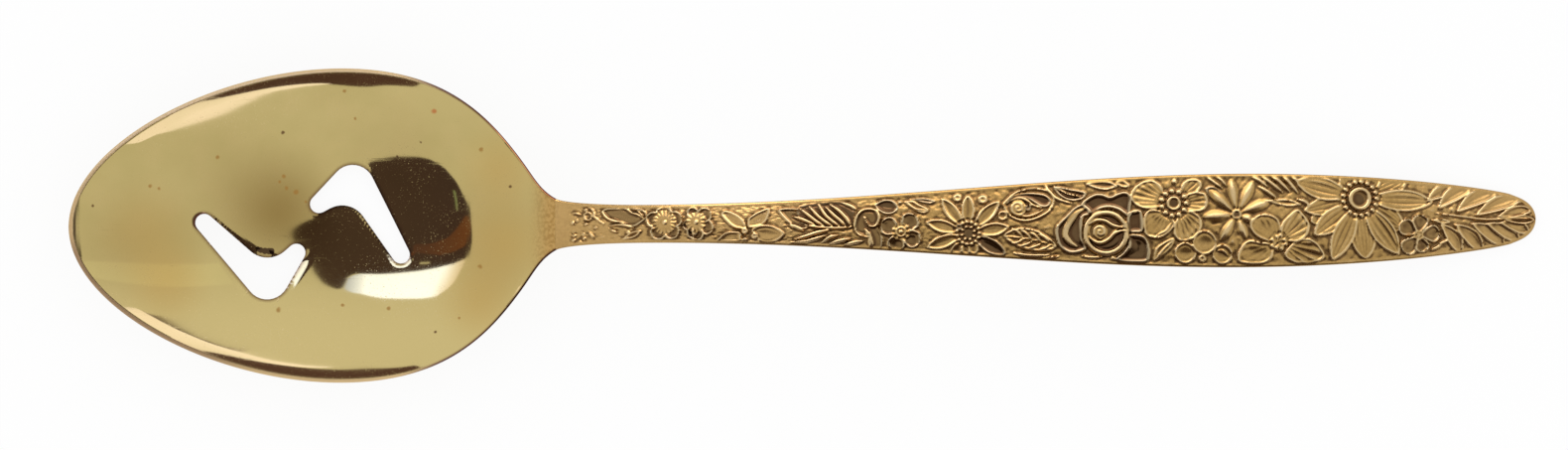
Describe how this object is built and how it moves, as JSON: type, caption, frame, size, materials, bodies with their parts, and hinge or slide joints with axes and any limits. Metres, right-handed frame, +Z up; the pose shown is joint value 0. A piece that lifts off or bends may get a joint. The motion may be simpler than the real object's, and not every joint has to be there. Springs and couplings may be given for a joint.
{
  "type": "pierced serving spoon",
  "caption": "Long serving spoon with a dished oval bowl, bent draining slots pierced through it, and an arched flat handle struck with a floral relief.",
  "frame": {"origin": "on the table, under the middle of the spoon's length, on its centre line", "axes": "+X from the bowl's tip to the handle's end, +Z up, out of the bowl's mouth"},
  "size_m": [0.213, 0.0454, 0.0197],
  "materials": {
    "bowl_plate": "polished gold plate, lightly worn",
    "handle_plate": "gold plate with a struck relief on a satin ground"
  },
  "bodies": {
    "root": {"bowl": "bowl_plate", "handle": "handle_plate"}
  },
  "joints": []
}
